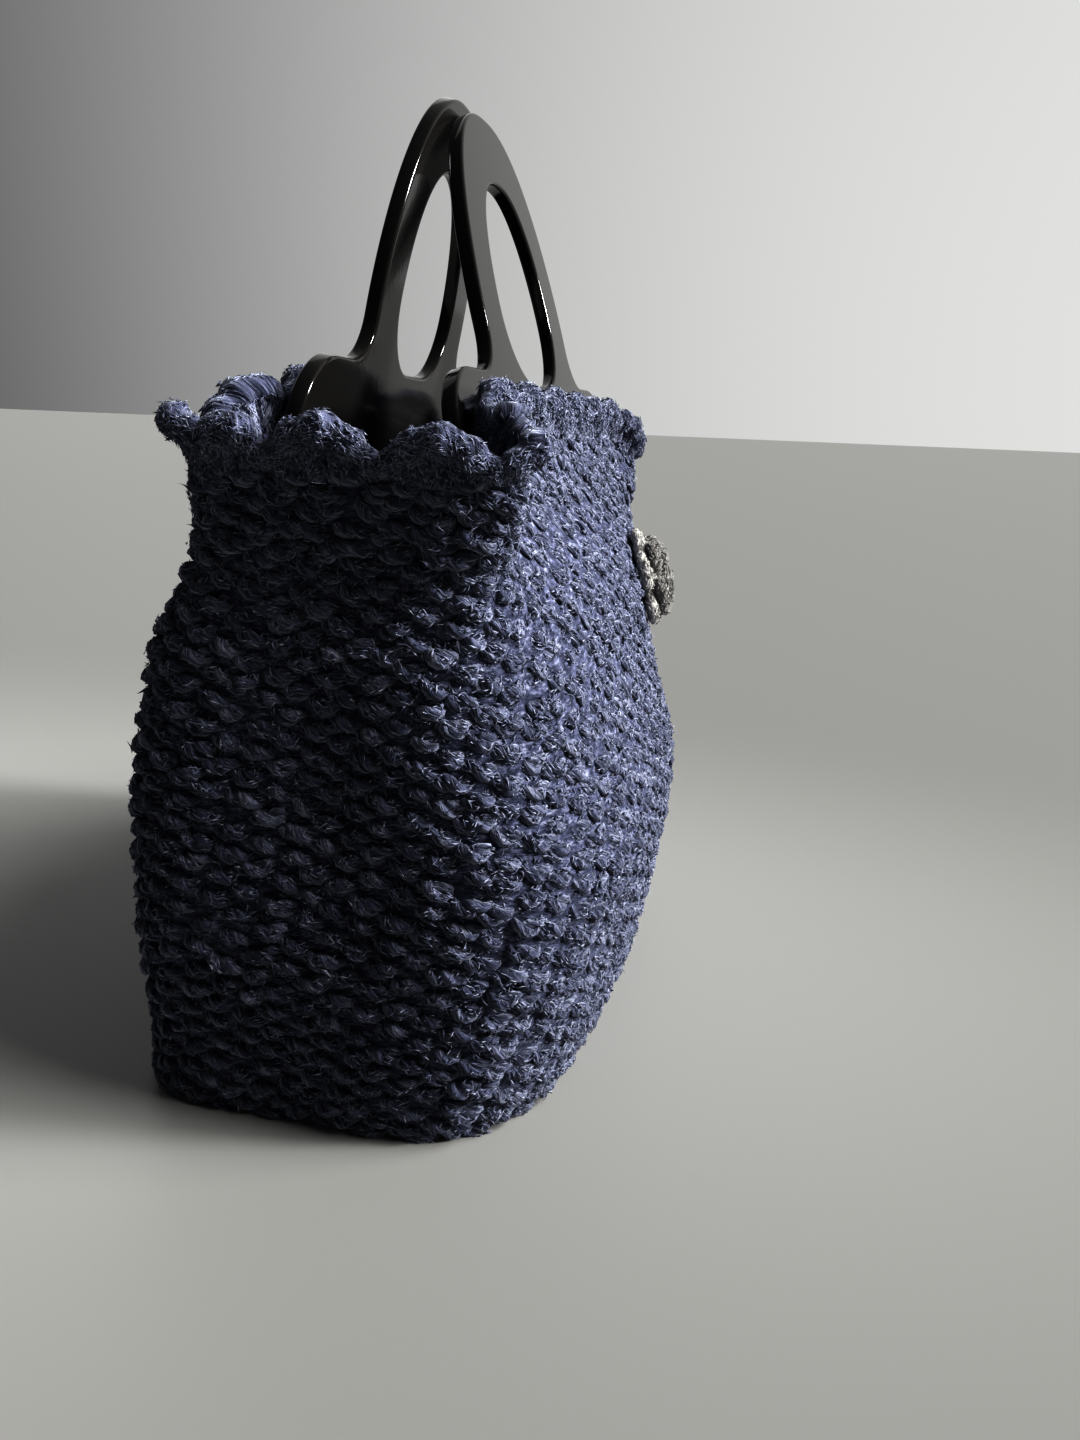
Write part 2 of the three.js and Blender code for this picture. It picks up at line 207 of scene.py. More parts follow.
def make_ring(name, rings, repeat, finish, nodes=()):
    """A closed ring: loops of points, each joined to the next and the last to the first. uv counts along
    the loop and across the loops, times repeat."""
    rows, steps = rings.shape[:2]
    k, j = np.meshgrid(np.arange(rows), np.arange(steps), indexing="ij")
    k2, j2 = (k + 1) % rows, (j + 1) % steps
    corners = np.stack([k * steps + j, k * steps + j2, k2 * steps + j2, k2 * steps + j], -1)
    uv = face_uv(j / steps * repeat[0], (j + 1) / steps * repeat[0],
                 k / rows * repeat[1], (k + 1) / rows * repeat[1])
    return make_piece(name, rings.reshape(-1, 3), corners.ravel(), np.full(rows * steps, 4), uv,
                      np.full(rows * steps, MIDDLE_TONE), finish, nodes)


def new_finish(name, settings):
    """A new material with the given settings of its surface, its node tree and its surface node."""
    finish = bpy.data.materials.new(name)
    finish.use_nodes = True
    shader = finish.node_tree.nodes["Principled BSDF"]
    for label, value in settings.items():
        shader.inputs[label].default_value = value
    return finish, finish.node_tree, shader


def shade_by(tree, value, colours, shader):
    """Base colour looked up by value on a ramp of colours, each given with its place on the ramp."""
    ramp = tree.nodes.new("ShaderNodeValToRGB")
    stops = ramp.color_ramp.elements
    for k, (at, colour) in enumerate(colours):
        stop = stops[k] if k < 2 else stops.new(at)
        stop.position = at
        stop.color = (*colour, 1)
    tree.links.new(value, ramp.inputs[0])
    tree.links.new(ramp.outputs[0], shader.inputs["Base Color"])


# how often the fibres change along a centimetre of strand, once round it and from tone to tone
FIBRE_ALONG, FIBRE_ROUND, FIBRE_TONE = 2.6, 19.0, 61.0
HEATHER_GRAIN = 210.0
HEATHER_SHARE = 0.22
TONE_SHIFT = 0.15
PLY_RIDGE = 0.5
FIBRE_RIDGE = 1.2
RIDGE_DEPTH = 0.0009


def yarn_finish(name, colours, glow, twist, plies, sheen, painted_shade=0.0):
    """Marled yarn: fibres of four shades run along the strand and turn with its twist; plies are
    ridges on the same twist, tone shifts each strand a little lighter or darker, and the last
    argument darkens every shade, as painted shade."""
    finish, tree, shader = new_finish(name, {
        "Roughness": 0.92, "Specular IOR Level": 0.18,
        "Sheen Weight": sheen, "Sheen Roughness": 0.45, "Sheen Tint": (*glow, 1)})
    node, join = tree.nodes.new, tree.links.new

    def maths(kind, a, b=None, c=None):
        """One sum of up to three values, each a number or the output of another node."""
        m = node("ShaderNodeMath")
        m.operation = kind
        for k, value in enumerate((a, b, c)):
            if value is None:
                continue
            if isinstance(value, (int, float)):
                m.inputs[k].default_value = value
            else:
                join(value, m.inputs[k])
        return m.outputs[0]

    strand = node("ShaderNodeUVMap")
    strand.uv_map = "yarn"
    split = node("ShaderNodeSeparateXYZ")
    join(strand.outputs[0], split.inputs[0])
    along, around = split.outputs[0], split.outputs[1]
    tone = node("ShaderNodeAttribute")
    tone.attribute_name = "tone"
    tone = tone.outputs["Fac"]
    turned = maths("MULTIPLY_ADD", along, twist, around)
    place = node("ShaderNodeCombineXYZ")
    join(maths("MULTIPLY", along, FIBRE_ALONG), place.inputs[0])
    join(maths("MULTIPLY", turned, FIBRE_ROUND), place.inputs[1])
    join(maths("MULTIPLY", tone, FIBRE_TONE), place.inputs[2])
    fibre = node("ShaderNodeTexNoise")
    fibre.inputs["Scale"].default_value = 1.0
    fibre.inputs["Detail"].default_value = 3.0
    fibre.inputs["Roughness"].default_value = 0.62
    join(place.outputs[0], fibre.inputs["Vector"])
    fibre = fibre.outputs["Fac"]
    spot = node("ShaderNodeTexCoord")
    heather = node("ShaderNodeTexNoise")
    heather.inputs["Scale"].default_value = HEATHER_GRAIN
    heather.inputs["Detail"].default_value = 3.0
    join(spot.outputs["Object"], heather.inputs["Vector"])
    heather = maths("MULTIPLY", heather.outputs["Fac"], HEATHER_SHARE)
    shade = maths("MULTIPLY_ADD", fibre, 1 - HEATHER_SHARE, heather)
    # the last argument is taken off the place on the ramp: painted shade, darker all over
    shade = maths("ADD", shade, maths("MULTIPLY_ADD", tone, TONE_SHIFT, -0.5 * TONE_SHIFT - painted_shade))
    shade_by(tree, shade, colours, shader)
    ridge = maths("SINE", maths("MULTIPLY", turned, 2 * np.pi * plies))
    height = maths("MULTIPLY_ADD", ridge, PLY_RIDGE, maths("MULTIPLY", fibre, FIBRE_RIDGE))
    bump = node("ShaderNodeBump")
    bump.inputs["Strength"].default_value = 1.0
    bump.inputs["Distance"].default_value = RIDGE_DEPTH
    join(height, bump.inputs["Height"])
    join(bump.outputs[0], shader.inputs["Normal"])
    return finish


BLUE_SHADES = [
    (0.38, (0.024, 0.027, 0.047)),
    (0.47, (0.053, 0.058, 0.096)),
    (0.55, (0.104, 0.112, 0.172)),
    (0.64, (0.250, 0.262, 0.325)),
]
BLUE_GLOW = (0.72, 0.77, 0.92)
blue_yarn = yarn_finish("blue_yarn", BLUE_SHADES, BLUE_GLOW, twist=0.55, plies=3, sheen=0.65)
# packed yarn: the blue yarn with less sheen and darkened on its ramp, as painted shade for the gaps behind
# the stitches and under the lobes
packed_yarn_painted_shade = yarn_finish("packed_yarn_painted_shade", BLUE_SHADES, BLUE_GLOW, twist=0.0, plies=1, sheen=0.2, painted_shade=0.03)


def stitch_bumps(h, s):
    """Height of rounded stitch bumps, 0 to 1, in leaning columns with every second one half a row lower:
    a cosine across the row times a cosine across the column."""
    row = (h - FIRST_ROW) / ROW
    column = s * STITCHES - COLUMN_LEAN * row
    row = row + 0.5 * (np.round(column) % 2)
    fall = np.cos(np.pi * (row - np.round(row))) * np.cos(np.pi * (column - np.round(column)))
    return np.clip(fall, 0, 1)


SHELL_FOOT = 1.5
SHELL_ROWS = 76
BODY_SHELL_OUTSIDE = 2.2
BODY_SHELL_INSIDE = FABRIC - 1.2
BODY_SHELL_BUMP = 1.4
shell_s = np.arange(3 * STITCHES) / (3 * STITCHES)


def make_shell(name, h, outside, inside, repeat, nodes, skip=1):
    """Packed yarn behind a band of stitches, darkened as painted shade in the gaps: a closed ring whose
    two faces lie outside and inside millimetres under the wall's outer face; its outer face keeps one
    row in every skip."""
    face, out = wall(h, shell_s), outward(wall, h, shell_s)
    rings = np.concatenate([(face - outside * out)[::skip], (face - inside[..., None] * out)[::-1]])
    return make_ring(name, rings, repeat, packed_yarn_painted_shade, nodes)


shell_h = np.linspace(SHELL_FOOT, COLLAR_START, SHELL_ROWS)[:, None]
shell_inside = BODY_SHELL_INSIDE + BODY_SHELL_BUMP * stitch_bumps(shell_h, shell_s)
make_shell("body_shell", shell_h, BODY_SHELL_OUTSIDE, shell_inside, repeat=(90, 30),
           nodes=["body_wall"], skip=3)


# Body stitches. Every stitch of the wall shows as a fat, smiling bump of two-ply yarn: both ends dive
# into the fabric and the middle stands out and hangs. Every second column lies half a row lower, the
# flower's side is pressed flatter, and the yarn is brushed, so hairs lie over and between the bumps.
STITCH_SIDES = 5
FLOOR_GAP = 0.05
PLIES = 2
PLY_LAY = 16.0
chance = np.random.default_rng(7)


def make_strands(name, paths, outs, radius, sides, finish, nodes=(), flat=1.0):
    """Closed tubes round many paths at once: each ring is a circle of the given radius square to the
    path, flattened along the outward direction and where it meets the floor, with both ends capped.
    uv runs in centimetres along the strand, from a start by chance, and once round it."""
    count, steps = paths.shape[:2]
    ahead = unit(np.gradient(paths, axis=1))
    across = unit(np.cross(ahead, outs))
    raised = np.cross(across, ahead)
    turn = 2 * np.pi * np.arange(sides) / sides
    flat = np.broadcast_to(flat, (count, steps))[:, :, None, None]
    ring = np.cos(turn)[:, None] * across[:, :, None] + flat * np.sin(turn)[:, None] * raised[:, :, None]
    points = paths[:, :, None] + radius[:, :, None, None] * ring
    points[..., 2] = np.maximum(points[..., 2], FLOOR_GAP)
    m, k, j = np.meshgrid(np.arange(count), np.arange(steps - 1), np.arange(sides), indexing="ij")
    here, beside = (m * steps + k) * sides + j, (m * steps + k) * sides + (j + 1) % sides
    quads = np.stack([here, here + sides, beside + sides, beside], -1)
    first = (np.arange(count)[:, None] * steps) * sides + np.arange(sides)
    last = first[:, ::-1] + (steps - 1) * sides
    run = run_along(paths) / 10 + chance.uniform(0, 50, (count, 1))
    uv = face_uv(run[m, k], run[m, k + 1], j / sides, (j + 1) / sides).reshape(-1, 2)
    cap_uv = np.zeros((2 * count * sides, 2))
    corners = np.concatenate([quads.ravel(), first.ravel(), last.ravel()])
    sizes = np.concatenate([np.full(quads.size // 4, 4), np.full(2 * count, sides)])
    tone = chance.uniform(0, 1, count)
    return make_piece(name, points.reshape(-1, 3), corners, sizes, np.concatenate([uv, cap_uv]),
                      np.repeat(tone, steps * sides), finish, nodes)


def twisted(paths, outs, offset, flat):
    """Plies laid round each path: ply n stands off by offset at an angle that grows by a full turn over
    each lay of length and starts at n / PLIES of a turn; flat presses the ring of plies."""
    across = unit(np.cross(unit(np.gradient(paths, axis=1)), outs))
    ply = np.arange(PLIES)[:, None, None] / PLIES
    turns = run_along(paths) / PLY_LAY + ply + chance.uniform(0, 1, (1, len(paths), 1))
    turn = 2 * np.pi * turns[..., None]
    ray = flat[..., None] * np.cos(turn) * outs + np.sin(turn) * across
    return (paths + offset * ray).reshape(-1, *paths.shape[1:])


def brushed_finish(name, colours, glow):
    """Single brushed fibres: matt, each of one shade between dark and pale, with a soft glow of its own
    tint along the rims."""
    finish, tree, shader = new_finish(name, {
        "Roughness": 0.8, "Specular IOR Level": 0.15,
        "Sheen Weight": 0.5, "Sheen Roughness": 0.5, "Sheen Tint": (*glow, 1)})
    tone = tree.nodes.new("ShaderNodeAttribute")
    tone.attribute_name = "tone"
    shade_by(tree, tone.outputs["Fac"], colours, shader)
    return finish


# spread of the hairs' places round the strand and of their turn on it, in radians, and of their stray
HAIR_ROUND, HAIR_TURN, HAIR_STRAY = 1.15, 0.6, 0.24
# how far a hair lies off its strand in millimetres, and how far its ends dip as a share of its half length
HAIR_OFF, HAIR_DIP = 0.1, 0.1
HAIR_ARCH = 0.8
HAIR_END = 0.06
HAIR_LENGTHS = (0.4, 1.0)
HAIR_WIDTHS = (0.6, 1.2)
HAIR_LIFTS = (-0.4, 0.9)


def make_hairs(name, paths, outs, radius, count, long, thick, finish, flat=1.0):
    """Brushed hairs on many strands: each is a sliver of four faces, pointed at both ends, that lies on
    its strand at a random angle to it; its two ends stray off the strand by chance, and flat is how
    far the strands are pressed."""
    pick = chance.integers(0, len(paths), count)
    at = chance.uniform(HAIR_END, 1 - HAIR_END, count) * (paths.shape[1] - 1)
    k = at.astype(int)
    part = (at - k)[:, None]

    def between(values):
        """Values of the picked strands at the hairs' places, by straight lines between their points."""
        return values[pick, k] * (1 - part) + values[pick, k + 1] * part

    ahead = unit(paths[pick, k + 1] - paths[pick, k])
    across = unit(np.cross(ahead, between(outs)))
    out = np.cross(across, ahead)
    round_by = chance.normal(0, HAIR_ROUND, (count, 1))
    turn = chance.normal(0, HAIR_TURN, (count, 1))
    away = np.cos(round_by) * out + np.sin(round_by) * across
    beside = np.cos(round_by) * across - np.sin(round_by) * out
    run = np.cos(turn) * ahead + np.sin(turn) * beside
    half = 0.5 * long * chance.uniform(*HAIR_LENGTHS, (count, 1))
    flat = np.broadcast_to(flat, paths.shape[:2])
    pressed = away - (1 - between(flat[..., None])) * np.cos(round_by) * out
    middle = between(paths) + (between(radius[..., None]) + HAIR_OFF) * pressed
    lift = half * np.clip(HAIR_STRAY * chance.standard_t(3, (2, count, 1)) - HAIR_DIP, *HAIR_LIFTS)
    wide = thick * chance.uniform(*HAIR_WIDTHS, (count, 1))
    arched = np.where(lift[0] + lift[1] < 2 * HAIR_ARCH * wide, 1, -1)
    side = arched * wide * np.cross(away, run)
    raised = middle + HAIR_ARCH * wide * away
    points = np.stack([middle - half * run + lift[0] * away, raised - side,
                       raised + side, middle + half * run + lift[1] * away], 1)
    points[..., 2] = np.maximum(points[..., 2], FLOOR_GAP)
    faces = np.array([(0, 1, 2), (3, 2, 1), (0, 2, 3), (0, 3, 1)])
    corners = (4 * np.arange(count)[:, None, None] + faces).ravel()
    tone = np.repeat(chance.uniform(0, 1, count), 4)
    return make_piece(name, points.reshape(-1, 3), corners, np.full(4 * count, 3),
                      np.zeros((12 * count, 2)), tone, finish)


# how uneven the stitches are: sideways, in size, tilt and height as parts of a stitch, outward in mm
UNEVEN = {"aside": 0.06, "size": 0.08, "tilt": 0.07, "height": 0.05, "out": 0.3}
LOWEST_STITCH = 1.2
SAG_MIDDLE = 0.3
DIVE_POWER = 2.2


def stitch_paths(row_h, shift, stagger, width, sag, proud, dive, steps, wobble):
    """Paths of whole rounds of stitches: t runs from -1 to 1 across a stitch, the strand hangs by
    sag t^2, and stands proud in the middle and dives at both ends; every second stitch is set lower
    by stagger rows, and wobble is how uneven they are."""
    t = np.linspace(-1, 1, steps)
    rows = len(row_h)

    def by_chance(kind):
        """A chance value of this kind for each stitch."""
        return chance.normal(0, UNEVEN[kind] * wobble, (rows, STITCHES, 1))

    column = np.arange(STITCHES)[None, :, None]
    centre = column + shift[:, None, None] + by_chance("aside")
    grow = 1 + by_chance("size")
    s = (centre + 0.5 * width * grow * t) / STITCHES
    h = row_h[:, None, None] - stagger * ROW * (column % 2)
    h = h + ROW * (grow * sag * (t**2 - SAG_MIDDLE) + by_chance("tilt") * t + by_chance("height"))
    h = np.maximum(h, LOWEST_STITCH)
    lift = proud + by_chance("out") - dive * np.abs(t)**DIVE_POWER
    outs = outward(wall, h, s)
    paths = wall(h, s) + lift[..., None] * outs
    t = np.broadcast_to(t, (rows * STITCHES, steps))
    return paths.reshape(-1, steps, 3), outs.reshape(-1, steps, 3), t


FRONT_PRESS = 0.5
PRESS_FROM, PRESS_TO = 0.3, 0.9


def pressed_flat(outs):
    """Height that is left to a stitch: all of it, and FRONT_PRESS less where it faces the flower's side."""
    return 1 - FRONT_PRESS * ease(PRESS_FROM, PRESS_TO, -outs[..., 1])


def make_stitches(name, paths, outs, t, offset, thick, ends, uneven):
    """Stitches of plies laid round each path, offset from it, thinner by ends times t^2 toward both ends
    and pressed on the flower's side; uneven is how much thicker or thinner a ply may be."""
    flat = pressed_flat(outs)
    plies = twisted(paths, outs, offset, flat)
    radius = thick * (1 - ends * np.tile(t, (PLIES, 1))**2)
    radius = radius * chance.uniform(1 - uneven, 1 + uneven, (PLIES * len(t), 1))
    return make_strands(name, plies, np.tile(outs, (PLIES, 1, 1)), radius, STITCH_SIDES, blue_yarn,
                        flat=np.tile(flat, (PLIES, 1)))


HAIR_SHADES = [
    (0.0, (0.036, 0.039, 0.066)),
    (0.35, (0.076, 0.082, 0.131)),
    (0.7, (0.137, 0.146, 0.214)),
    (1.0, (0.31, 0.325, 0.395)),
]
BODY_FUZZ = 3.1
BODY_FUZZ_ENDS = 0.35
BODY_HAIRS = 30000
GROUND_FUZZ = 1.3
GROUND_HAIRS = 8000
BODY_HAIR_LONG = 4.7
BODY_HAIR_THICK = 0.31
blue_hair = brushed_finish("blue_hair", HAIR_SHADES, BLUE_GLOW)
body_h = FIRST_ROW + ROW * np.arange(BODY_ROWS)
body_shift = COLUMN_LEAN * np.arange(BODY_ROWS)
for part, rows in (("lower", slice(0, BODY_ROWS // 2)), ("upper", slice(BODY_ROWS // 2, BODY_ROWS))):
    paths, outs, t = stitch_paths(body_h[rows], body_shift[rows], stagger=0.5, width=1.14, sag=0.24,
                                  proud=-1.7, dive=2.0, steps=7, wobble=1.3)
    make_stitches(f"body_stitches_{part}", paths, outs, t, offset=1.45, thick=2.25, ends=0.4, uneven=0.12)
    make_hairs(f"body_hairs_{part}", paths, outs, BODY_FUZZ * (1 - BODY_FUZZ_ENDS * t**2), BODY_HAIRS,
               BODY_HAIR_LONG, BODY_HAIR_THICK, blue_hair, pressed_flat(outs))
    paths, outs, t = stitch_paths(body_h[rows] + 0.5 * ROW, body_shift[rows], stagger=0.5, width=1.0,
                                  sag=0.24, proud=-2.9, dive=0.0, steps=3, wobble=1.0)
    make_hairs(f"ground_hairs_{part}", paths, outs, np.full(t.shape, GROUND_FUZZ), GROUND_HAIRS,
               BODY_HAIR_LONG, BODY_HAIR_THICK, blue_hair)


# Base. A flat oval of the same yarn that the wall grows from; it lies on the floor, and its rounds
# run inward from the foot of the wall to the middle.
BASE_THICK = 6.0
BASE_RIM_H = 0.5
BASE_SIDE_H = 3.0
BASE_INSET = 5.0
BASE_MIDDLE = np.array([0, 8.0, 0])
BASE_EYE = 0.02
BASE_ROUNDS = 9
BASE_STEPS = 34
BASE_DIMPLE = 0.9
BASE_GROOVE = 1.4
BASE_BUMP = 1.6
base_s = np.arange(2 * STITCHES) / (2 * STITCHES)
base_rim = wall(BASE_RIM_H, base_s) - BASE_INSET * outward(wall, BASE_SIDE_H, base_s)
base_part = np.linspace(1, BASE_EYE, BASE_STEPS)[:, None, None]
base_flat = BASE_MIDDLE + (base_rim - BASE_MIDDLE) * base_part
base_wave = np.cos(2 * np.pi * base_part[..., 0] * BASE_ROUNDS) * np.cos(np.pi * base_s * STITCHES)
base_wave = 0.5 + 0.5 * base_wave
base_under, base_top = base_flat.copy(), base_flat.copy()
base_under[..., 2] = BASE_DIMPLE * (1 - base_wave)
base_top[..., 2] = BASE_THICK - BASE_GROOVE + BASE_BUMP * base_wave
# the base takes the packed yarn, darkened as painted shade
make_ring("base_rounds", np.concatenate([base_top, base_under[::-1]]), repeat=(80, 12),
          finish=packed_yarn_painted_shade, nodes=["base_panel"])


# Collar. Four plain rounds worked on from the body and drawn in to the mouth; the stitches lie
# flatter and closer than on the body.
RUFFLE_START = 230.0
COLLAR_ROUNDS = 4
COLLAR_FIRST = 214.0
COLLAR_ROW = 5.8
COLLAR_FUZZ = 2.9
COLLAR_FUZZ_ENDS = 0.25
COLLAR_HAIRS = 11000
COLLAR_HAIR_LONG = 5.4
COLLAR_HAIR_THICK = 0.22
COLLAR_SHIFT = 0.1
COLLAR_SHELL_FOOT = COLLAR_START + 0.4
COLLAR_SHELL_ROWS = 10
COLLAR_SHELL_OUTSIDE = 2.9
COLLAR_SHELL_INSIDE = FABRIC - 0.9
COLLAR_SHELL_BUMP = 0.8
collar_h = COLLAR_FIRST + COLLAR_ROW * np.arange(COLLAR_ROUNDS)
collar_shift = COLLAR_SHIFT + 2 * COLUMN_LEAN * np.arange(COLLAR_ROUNDS)
paths, outs, t = stitch_paths(collar_h, collar_shift, stagger=0.35, width=1.14, sag=0.22,
                              proud=-1.9, dive=1.7, steps=7, wobble=1.7)
make_stitches("collar_rounds", paths, outs, t, offset=1.3, thick=2.1, ends=0.25, uneven=0.1)
make_hairs("collar_hairs", paths, outs, COLLAR_FUZZ * (1 - COLLAR_FUZZ_ENDS * t**2), COLLAR_HAIRS,
           COLLAR_HAIR_LONG, COLLAR_HAIR_THICK, blue_hair, pressed_flat(outs))
shell_h = np.linspace(COLLAR_SHELL_FOOT, RUFFLE_START, COLLAR_SHELL_ROWS)[:, None]
collar_wave = 0.5 + 0.5 * np.cos(2 * np.pi * (shell_h - COLLAR_FIRST) / COLLAR_ROW)
shell_inside = COLLAR_SHELL_INSIDE + COLLAR_SHELL_BUMP * collar_wave
# the collar's shell is the packed yarn, darkened as painted shade in the gaps between the rounds
make_shell("collar_shell", shell_h, COLLAR_SHELL_OUTSIDE, shell_inside, repeat=(90, 3),
           nodes=["collar_band"])


# Ruffle. A shell edging: fans of tall stitches worked into the collar, each fan a round lobe that
# leans outward, with a thick rolled edge where the last loops wrap over the fan.
LOBES = 22
SPLIT_LOBES = (9, 12)
LOBE_SHIFT = 0.011
LOBE_POWER = 1.1
RIM_ROUND = 236.0
ROOT_GAP = 0.9
VALLEY = 233.0
CREST = 252.0
FRONT_DROP = 7.0
DROP_FROM, DROP_TO = 10.0, -70.0
BACK_RISE = 6.0
RISE_FROM, RISE_TO = 10.0, 60.0
FLARE = 10.0
FLARE_POWER = 1.4
VALLEY_FLARE = 0.3
CORNER_FAN = 0.01
rim_step = np.linspace(0, 1, ROUND_STEPS + 1)
rim_run = run_along(wall(RIM_ROUND, rim_step))
rim_share = rim_run / rim_run[-1]


def lobe(q):
    """Rise of a lobe, 0 in the valleys and 1 at the crest: a half wave over each equal length of rim, and
    two short ones where the lobe is split at a corner."""
    place = LOBES * (q % 1)
    return np.abs(np.sin(np.pi * place * (1 + np.isin(np.floor(place), SPLIT_LOBES))))**LOBE_POWER


def ruffle(t, q):
    """Outer face of the edging: t goes from the collar to the edge of the lobe and q is the share of the
    rim. The lean grows as a power of t and is greatest at the crests; the crests sink toward the front
    and the valleys rise toward the back."""
    s = np.interp((q + LOBE_SHIFT) % 1, rim_share, rim_step)
    root_h = np.full(np.broadcast(t, s).shape, RUFFLE_START)
    root = wall(root_h, s)
    crest = CREST - FRONT_DROP * ease(DROP_FROM, DROP_TO, root[..., 1])
    valley = VALLEY + BACK_RISE * ease(RISE_FROM, RISE_TO, root[..., 1])
    edge_h = valley + (crest - valley) * lobe(q)
    h = RUFFLE_START + ROOT_GAP + t * (edge_h - RUFFLE_START - ROOT_GAP)
    lean = FLARE * np.abs(t)**FLARE_POWER * (VALLEY_FLARE + (1 - VALLEY_FLARE) * lobe(q))
    return wall(h, s) + lean[..., None] * outward(wall, root_h, s, CORNER_FAN)


def ruffle_out(t, q, reach=4e-4, rise=0.02):
    """Outward direction of the edging, by small steps of reach along the rim and rise up the lobe."""
    around = ruffle(t, q + reach) - ruffle(t, q - reach)
    upward = ruffle(t + rise, q) - ruffle(t - rise, q)
    return unit(np.cross(around, upward))


FANS = 7
FAN_STEPS = 8
FAN_TOP = 0.72
FAN_GATHER = 0.74
FAN_UNEVEN = 0.014
FAN_DEPTH = 2.8
FAN_THICK = 2.6
FAN_WIDTHS = (0.85, 1.2)
FAN_HAIRS = 9000
FAN_HAIR_LONG = 4.0
FAN_HAIR_THICK = 0.26
fan_spot = (np.arange(FANS) + 0.5) / FANS
fan_t = np.linspace(0, FAN_TOP, FAN_STEPS)
fan_root = 0.5 + FAN_GATHER * (fan_spot - 0.5)
fan_q = (np.arange(LOBES)[:, None, None] + fan_root[:, None] + (fan_spot - fan_root)[:, None] * fan_t
         + chance.normal(0, FAN_UNEVEN, (LOBES, FANS, 1))) / LOBES
fan_t = np.broadcast_to(fan_t, fan_q.shape)
fan_out = ruffle_out(fan_t, fan_q)
fan_path = (ruffle(fan_t, fan_q) - FAN_DEPTH * fan_out).reshape(-1, FAN_STEPS, 3)
fan_out = fan_out.reshape(-1, FAN_STEPS, 3)
fan_fuzz = np.full(fan_path.shape[:2], FAN_DEPTH)
for face, side in (("outer", 1), ("inner", -1)):
    make_hairs(f"ruffle_hairs_{face}", fan_path, side * fan_out, fan_fuzz, FAN_HAIRS, FAN_HAIR_LONG,
               FAN_HAIR_THICK, blue_hair)
fan_thick = FAN_THICK * chance.uniform(*FAN_WIDTHS, fan_path.shape[:2])
make_strands("ruffle_fans", fan_path, fan_out, fan_thick, STITCH_SIDES, blue_yarn)

ROLL_AT = 0.7
VALLEY_FAT = 0.75
CREST_FAT = 0.65
ROLL_SIDES = 6
ROLL_FINE_STEPS = 3600
ROLL_LUMP = 0.15
LUMP_LONG = 1.5
ROLL_FUZZ = 0.96
ROLL_HAIR_LONG = 4.2
ROLL_HAIR_THICK = 0.24


def rolled_edge(q):
    """Rolled edge of the lobes, seven tenths of the way up the edging, its outward direction, and how much
    fatter it grows toward the crests."""
    t = np.full(q.shape, ROLL_AT)
    return ruffle(t, q), ruffle_out(t, q), VALLEY_FAT + CREST_FAT * lobe(q)


def soften(v):
    """Vectors along a closed curve, each mixed with its two neighbours on either side."""
    weight = np.array([1, 3, 4, 3, 1]) / 12
    around = np.concatenate([v[-3:-1], v, v[1:3]])
    return np.stack([np.convolve(around[:, k], weight, "valid") for k in range(3)], -1)


def make_roll(name, edge, inset, thick, step, finish, hair, hairs):
    """A rolled edge: a fat lumpy strand along a closed curve, with brushed hairs. edge gives the curve, its
    outward direction and how fat it is for a share of the way round; the curve is walked in even
    steps, softened at its sharp turns and set in by inset."""
    fine_q = np.linspace(0, 1, ROLL_FINE_STEPS + 1)
    run = run_along(edge(fine_q)[0])
    steps = int(run[-1] / step)
    path, out, fat = edge(np.interp(np.linspace(0, run[-1], steps), run, fine_q))
    out = unit(soften(soften(out)))
    path = soften(path) - inset * out
    swell = thick * fat[None] * (1 + ROLL_LUMP * np.sin(np.arange(steps) * step / LUMP_LONG))
    make_hairs(f"{name}_hairs", path[None], out[None], ROLL_FUZZ * swell, hairs, ROLL_HAIR_LONG,
               ROLL_HAIR_THICK, hair)
    return make_strands(name, path[None], out[None], swell, ROLL_SIDES, finish)


make_roll("ruffle_roll", rolled_edge, inset=3.0, thick=3.9, step=1.7, finish=blue_yarn, hair=blue_hair,
          hairs=22000)

# a closed sheet of packed yarn behind the fans, darkened as painted shade under the lobes
SHEET_OUTSIDE, SHEET_INSIDE = 1.9, 3.9
SHEET_TOP = 0.75
SHEET_ROWS = 6
SHEET_STEPS = 12
sheet_q = np.arange(SHEET_STEPS * LOBES) / (SHEET_STEPS * LOBES)
sheet_t, sheet_q = np.broadcast_arrays(np.linspace(0, SHEET_TOP, SHEET_ROWS)[:, None], sheet_q)
sheet_out = ruffle_out(sheet_t, sheet_q)
sheet_face = ruffle(sheet_t, sheet_q)
sheet_rings = [sheet_face - SHEET_OUTSIDE * sheet_out, (sheet_face - SHEET_INSIDE * sheet_out)[::-1]]
make_ring("ruffle_sheet", np.concatenate(sheet_rings), repeat=(100, 4), finish=packed_yarn_painted_shade,
          nodes=["ruffle_edging"])


# Handles. Two equal plates cut from 6 mm board, lacquered black, with every edge rounded over; the
# base bar stands inside the mouth against the collar, and the pair leans together at the top.
BAR_HALF = 123.0
BAR_CORNER = 6.0
SHOULDER = 44.4
SHOULDER_CORNER = 25.3
LEG_FILLET = 16.8
ARCH_HALF = 63.3
ARCH_TOP = 149.0
ARCH_POWER = 0.84
GRIP_HALF = 39.1
GRIP_BOTTOM = 42.0
GRIP_TOP = 122.8
GRIP_CORNER = 28.0
BAR_UP = 52.0
EDGE_ROUND = 1.1
FLAT_MARGIN = 0.7
OUTLINE_STEP = 2.2


def arc(cx, cy, r, start, end, count):
    """Points on a circle about (cx, cy) from one angle to another."""
    a = np.linspace(start, end, count)
    return np.stack([cx + r * np.cos(a), cy + r * np.sin(a)], -1)


